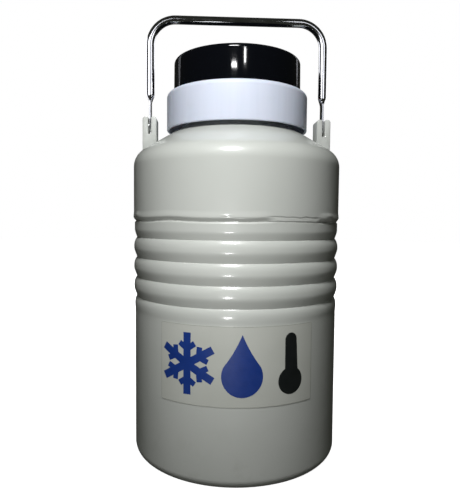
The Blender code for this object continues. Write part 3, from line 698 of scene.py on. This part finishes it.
def make_label(film, edge_ink, blue, black):
    """A film on the front with a thin outline and three printed marks."""
    middle_angle = math.radians(-2.35)
    half_width = math.radians(40.8) * LOWER_RADIUS
    half_height = (label_high.z - label_low.z) / 2.0
    middle = (label_low.z + label_high.z) / 2.0
    corner = 0.002
    film_lift, film_thick = 0.00008, 0.00022
    mark_lift, mark_thick, edge_thick = 0.00026, 0.00012, 0.00008

    sheet = rounded([(x, y, corner) for x, y in rectangle(0.0, 0.0, 2.0 * half_width, 2.0 * half_height)],
                    closed=True)
    label = wrapped("label_film", sheet, middle_angle, middle, film_lift, film_thick)
    finish_piece(label, "vessel", film, "label_film", "contents_label")

    line = 0.0006
    across = half_width - line / 2.0
    up = half_height - line / 2.0
    upright = (line, 2.0 * half_height - corner)
    level = (2.0 * half_width - corner, line)
    for word, x, y, size in (("left", -across, 0.0, upright), ("right", across, 0.0, upright),
                             ("bottom", 0.0, -up, level), ("top", 0.0, up, level)):
        edge = wrapped(f"label_edge_{word}", rectangle(x, y, *size), middle_angle, middle, mark_lift,
                       edge_thick)
        finish_piece(edge, "vessel", edge_ink, "label_film")

    mark_middle = 0.1172
    for name, outline, degrees, ink in (
            ("label_mark_snowflake", snowflake_outline(0.0290, 0.0075), -27.2, blue),
            ("label_mark_drop", drop_outline(0.0385, 0.0580), 0.2, blue),
            ("label_mark_thermometer", thermometer_outline(0.0130, 0.0125, 0.0580), 25.0, black)):
        mark = wrapped(name, outline, math.radians(degrees), mark_middle, mark_lift, mark_thick)
        finish_piece(mark, "vessel", ink, "label_film")


# ---------------------------------------------------------------- collar and lid
def make_collar(plastic):
    """The skirt round the neck, with the web inside that it is screwed down by."""
    wall = 0.0028
    web_low, web_high = 0.3646, 0.3676
    hole = 0.0365
    lip = COLLAR_RADIUS - 0.0100
    corners = [(lip, COLLAR_TOP, 0.0006), (COLLAR_RADIUS, COLLAR_TOP, 0.0058),
               (COLLAR_RADIUS, COLLAR_BOTTOM, 0.0009), (COLLAR_RADIUS - wall, COLLAR_BOTTOM, 0.0006),
               (COLLAR_RADIUS - wall, web_low, 0.0010), (hole, web_low, 0.0005),
               (hole, web_high, 0.0005), (COLLAR_RADIUS - wall, web_high, 0.0010),
               (COLLAR_RADIUS - wall, COLLAR_TOP - 0.0035, 0.0010), (lip, COLLAR_TOP - 0.0035, 0.0006)]
    path = rounded(corners, closed=True, segments=8)

    def moulded(angle, radius, height):
        return wave(math.sin(angle) * 3.0, math.cos(angle) * 3.0, height * 20.0) * 0.00008

    collar = turned("collar_ring", path, 200, shift=moulded)
    finish_piece(collar, "vessel", plastic, "white_plastic", "neck_collar")


def make_lid(plastic):
    """The lid's shell: slightly crowned, with a rounded top edge."""
    wall = 0.0032
    crown = 0.0015
    corners = [(0.0, LID_TOP, 0.0), (0.045, LID_TOP - crown * 0.45, 0.05),
               (LID_RADIUS - 0.0003, LID_TOP - crown, 0.0042),
               (LID_RADIUS - 0.0001, LID_BOTTOM + 0.012, 0.02),
               (LID_RADIUS, LID_BOTTOM, 0.0010), (LID_RADIUS - wall, LID_BOTTOM, 0.0006),
               (LID_RADIUS - wall, LID_TOP - crown - wall, 0.0020), (0.0, LID_TOP - wall, 0.0)]
    lid = turned("lid_shell", rounded(corners, segments=12), 200, closed=False)
    finish_piece(lid, "lid", plastic, "black_plastic", "lid_cap")
    return lid


# ---------------------------------------------------------------- bail and lugs
def section(centre, along, across, thickness=ROD_RADIUS, width=ROD_RADIUS, squareness=2.0):
    """A ring round a path: the round rod, or an ellipse that squares up as squareness goes from 2 to 4."""
    steps = 32
    other = along.cross(across)
    ring = []
    for k in range(steps):
        angle = math.tau * k / steps
        c, s = math.cos(angle), math.sin(angle)
        a = math.copysign(abs(c) ** (2.0 / squareness), c) * thickness
        b = math.copysign(abs(s) ** (2.0 / squareness), s) * width
        ring.append(centre + across * a + other * b)
    return ring


def make_bail(chrome):
    """Round rod, bent over the lid, with ends beaten flat where the pins go through."""
    up = Vector((0.0, 0.0, 1.0))
    inward = Vector((1.0, 0.0, 0.0))
    blade_half, blade_thin, blade_square = 0.0065, 0.0012, 3.6
    blade_top, rod_start = 0.375, 0.3845
    bend_height = BAR_HEIGHT - BEND_RADIUS
    foot = -LUG_X
    rings = []
    for k in range(9):
        drop = math.cos(math.radians(8.0 + 82.0 * k / 8.0))
        half = blade_half * math.sqrt(1.0 - drop * drop)
        centre = Vector((foot, 0.0, PIVOT_HEIGHT - blade_half * drop))
        rings.append(section(centre, up, inward, blade_thin, half, blade_square))
    rings.append(section(Vector((foot, 0.0, blade_top)), up, inward, blade_thin, blade_half, blade_square))
    for k in range(1, 9):
        t = smooth(0.0, 1.0, k / 8.0)
        centre = Vector((foot, 0.0, blade_top + (rod_start - blade_top) * k / 8.0))
        rings.append(section(centre, up, inward, blade_thin + (ROD_RADIUS - blade_thin) * t,
                             blade_half + (ROD_RADIUS - blade_half) * t,
                             blade_square + (2.0 - blade_square) * t))
    for k in range(1, 6):
        height = rod_start + (bend_height - rod_start) * k / 6.0
        rings.append(section(Vector((foot, 0.0, height)), up, inward))
    for k in range(19):
        angle = math.radians(5.0 * k)
        centre = Vector((foot + BEND_RADIUS * (1.0 - math.cos(angle)), 0.0,
                         bend_height + BEND_RADIUS * math.sin(angle)))
        along = Vector((math.sin(angle), 0.0, math.cos(angle)))
        across = Vector((math.cos(angle), 0.0, -math.sin(angle)))
        rings.append(section(centre, along, across))
    for k in range(1, 8):
        x = foot + BEND_RADIUS + (-foot - BEND_RADIUS) * k / 8.0
        rings.append(section(Vector((x, 0.0, BAR_HEIGHT)), inward, -up))
    mirrored = [[Vector((-p.x, p.y, p.z)) for p in ring] for ring in reversed(rings)]
    middle = section(Vector((0.0, 0.0, BAR_HEIGHT)), inward, -up)
    bail = swept("bail_rod", rings + [middle] + mirrored)
    finish_piece(bail, "bail", chrome, "chrome", "bail_handle")
    return bail


def make_lugs(paint):
    """Forked lugs: two rounded cheeks on a foot that goes into the cone."""
    half_x = (lug_high.x - lug_low.x) / 2.0
    half_y = (lug_high.y - lug_low.y) / 2.0
    top, slot_floor, foot = lug_high.z, 0.3408, 0.3170
    slot = 0.0015                   # half its width
    outline = [(-half_x, foot, 0.0), (half_x, foot, 0.0), (half_x, top, 0.0048), (slot, top, 0.0014),
               (slot, slot_floor, 0.0010), (-slot, slot_floor, 0.0010), (-slot, top, 0.0014),
               (-half_x, top, 0.0048)]
    ring = rounded(outline, closed=True, segments=7)
    count = len(ring)
    points = [(x, y, z) for y in (-half_y, half_y) for x, z in ring]
    faces = [(count + k, count + (k + 1) % count, (k + 1) % count, k) for k in range(count)]
    faces += [tuple(range(count)), tuple(range(count, 2 * count))[::-1]]
    for side, word in ((-1.0, "left"), (1.0, "right")):
        lug = make_object(f"lug_{word}", points, faces, 180.0)
        lug.location = (side * LUG_X, 0.0, 0.0)
        bevel = lug.modifiers.new("edges", "BEVEL")
        bevel.width = 0.0012
        bevel.segments = 4
        bevel.limit_method = "ANGLE"
        bevel.angle_limit = math.radians(50.0)
        finish_piece(lug, "vessel", paint, "lug_plastic", f"handle_lug_{word}")


# ---------------------------------------------------------------- CAD nodes that stay
def finish_cad_nodes():
    """Give every CAD node that stays its own procedural finish."""
    finishes = {
        "aluminium": metal_material("spun_aluminium", (0.70, 0.71, 0.72), 0.30, (1.0, 1.0, 30.0)),
        "steel": metal_material("drawn_steel", (0.62, 0.62, 0.62), 0.22, (1.0, 1.0, 0.05)),
        "foil_blanket": foil_material(),
    }
    for slot, *look in (
            ("glass_fibre", "wound_glass_fibre", (0.38, 0.34, 0.18), (0.52, 0.48, 0.30), 0.5, 140.0, 0.0002),
            ("foam", "foam", (0.70, 0.66, 0.50), (0.84, 0.80, 0.66), 0.9, 260.0, 0.0005),
            ("cloth_pack", "woven_pouch", (0.60, 0.58, 0.52), (0.76, 0.74, 0.68), 0.9, 500.0, 0.0003),
            ("rubber", "black_rubber", (0.018, 0.018, 0.018), (0.035, 0.035, 0.035), 0.7, 300.0, 0.0001),
            ("white_plastic", "moulded_white", (0.68, 0.71, 0.78), (0.75, 0.78, 0.85), 0.5, 120.0, 0.0001),
            ("red_plastic", "moulded_red", (0.36, 0.03, 0.025), (0.46, 0.05, 0.04), 0.45, 160.0, 0.0001)):
        finishes[slot] = plain_material(*look)
    for part in frame["record"]["subparts"]:
        node = frame["nodes"][part["node"]]
        if node.hide_render:
            continue
        node.data.materials.clear()
        node.data.materials.append(finishes[part["material_slot"]])
        node.data.shade_smooth()
        node.data.set_sharp_from_angle(angle=math.radians(32.0))


# ---------------------------------------------------------------- studio
def direction(azimuth):
    """A level unit vector from the dewar; azimuth is from the camera's side towards the right."""
    angle = math.radians(azimuth) + CAMERA_SIDE
    return Vector((math.sin(angle), -math.cos(angle), 0.0))


def area_light(name, azimuth, out, height, size, power, colour=(1.0, 1.0, 1.0), glossy=True, diffuse=True):
    """A rectangle of light at an azimuth, a distance out from the axis and a height, facing the dewar."""
    light = bpy.data.lights.new(name, "AREA")
    light.shape = "RECTANGLE"
    light.size, light.size_y = size
    light.energy = power
    light.color = colour
    obj = bpy.data.objects.new(name, light)
    bpy.context.scene.collection.objects.link(obj)
    target = Vector((0.0, 0.0, 0.26))
    obj.location = direction(azimuth) * out + Vector((0.0, 0.0, height))
    obj.rotation_mode = "QUATERNION"
    obj.rotation_quaternion = (obj.location - target).to_track_quat("Z", "Y")
    obj.visible_camera = False
    obj.visible_glossy = glossy
    obj.visible_diffuse = diffuse
    return obj


def light_group(name, obj, state):
    """A group for light linking: only this object is lit, or all but this object."""
    group = bpy.data.collections.new(name)
    group.objects.link(obj)
    group.collection_objects[0].light_linking.link_state = state
    return group


def make_studio(bail, lid):
    """A near lamp over the camera, a low fill, glints, cards that light the bail alone, and light behind."""
    only_bail = light_group("only_bail", bail, "INCLUDE")
    only_lid = light_group("only_lid", lid, "INCLUDE")
    no_bail = light_group("no_bail", bail, "EXCLUDE")

    key = area_light("key", -6.0, 0.40, 0.68, (0.11, 0.11), 2.75, (0.99, 1.0, 1.0))
    low = area_light("glint_low", -6.5, 0.50, 0.11, (0.05, 0.05), 0.36, diffuse=False)
    middle = area_light("glint_middle", -5.0, 0.50, 0.539, (0.07, 0.014), 0.40, diffuse=False)
    upper = area_light("glint_upper", 12.5, 0.50, 0.572, (0.022, 0.046), 0.34, diffuse=False)
    for light, group in ((key, no_bail), (low, no_bail), (middle, only_lid), (upper, only_lid)):
        light.light_linking.receiver_collection = group
    for word, azimuth, wide, power in (("left", -30.0, 0.80, 2.9), ("right", 30.0, 0.42, 1.1),
                                       ("back_left", -125.0, 0.60, 1.6), ("back_right", 145.0, 0.60, 1.6)):
        card = area_light(f"card_{word}", azimuth, 0.90, 0.62, (wide, 0.45), power, (0.97, 0.97, 1.0),
                          diffuse=False)
        card.light_linking.receiver_collection = only_bail
    area_light("fill", -7.0, 0.37, 0.21, (0.12, 0.12), 0.345, glossy=False)
    area_light("back_left", -155.0, 1.60, 1.00, (0.5, 0.9), 11.0, glossy=False)
    area_light("back_right", 155.0, 1.60, 1.00, (0.5, 0.9), 9.0, glossy=False)
    area_light("back", 180.0, 1.60, 0.90, (0.5, 0.9), 7.0, glossy=False)
    make_backdrop()
    make_floor()


def make_backdrop():
    """White to the camera, and a dim greenish room to everything else."""
    world = bpy.data.worlds.new("studio")
    bpy.context.scene.world = world
    world.use_nodes = True
    tree = world.node_tree
    tree.nodes.clear()
    output = tree.nodes.new("ShaderNodeOutputWorld")
    mix = tree.nodes.new("ShaderNodeMixShader")
    path = tree.nodes.new("ShaderNodeLightPath")
    for place, colour, strength in ((1, (0.96, 1.0, 0.82, 1.0), 0.026), (2, (1.0, 1.0, 1.0, 1.0), 1.0)):
        background = tree.nodes.new("ShaderNodeBackground")
        background.inputs["Color"].default_value = colour
        background.inputs["Strength"].default_value = strength
        tree.links.new(background.outputs["Background"], mix.inputs[place])
    tree.links.new(path.outputs["Is Camera Ray"], mix.inputs["Fac"])
    tree.links.new(mix.outputs["Shader"], output.inputs["Surface"])


def make_floor():
    """A white floor that meets the white backdrop without a line."""
    floor = turned("studio_floor", [(0.0, -0.0002), (6.0, -0.0002)], 96, closed=False)
    n = Nodes("studio_floor")
    n.colour(n.ramp(n.noise(3.0, 2.0), ((0.3, 0.80), (0.7, 0.84))))
    n.rough(0.9)
    n.set(emission_color=(1.0, 1.0, 1.0, 1.0), emission_strength=1.0)
    floor.data.materials.append(n.material)
    floor.visible_diffuse = False
    floor.visible_glossy = False


def make_camera():
    """A near camera at about half the dewar's height, turned, tilted and rolled by small angles."""
    camera = bpy.data.cameras.new("camera")
    camera.lens = CAMERA_LENS
    obj = bpy.data.objects.new("camera", camera)
    bpy.context.scene.collection.objects.link(obj)
    away = direction(0.0) * CAMERA_DISTANCE
    obj.location = (away.x, away.y, CAMERA_HEIGHT)
    level = Matrix.Rotation(math.radians(90.0), 4, "X")
    heading = Matrix.Rotation(CAMERA_SIDE + CAMERA_AIM, 4, "Z")
    tilt = Matrix.Rotation(CAMERA_PITCH, 4, "X")
    roll = Matrix.Rotation(CAMERA_ROLL, 4, "Z")
    obj.matrix_world = Matrix.Translation(obj.location) @ heading @ level @ tilt @ roll
    bpy.context.scene.camera = obj


def main():
    """Every piece, the finishes of the CAD nodes that stay, the studio and the camera."""
    paint = paint_material()
    make_upper_shell(paint)
    make_lower_shell(paint)
    make_weld(paint)
    make_label(film_material(), ink_material("film_edge", (0.38, 0.39, 0.35)),
               ink_material("blue_ink", (0.008, 0.036, 0.215)),
               ink_material("black_ink", (0.008, 0.010, 0.010)))
    make_collar(collar_material())
    lid = make_lid(lid_material())
    bail = make_bail(chrome_material())
    make_lugs(lug_material())
    finish_cad_nodes()
    make_studio(bail, lid)
    make_camera()
    bpy.context.scene.view_settings.view_transform = "Standard"


main()
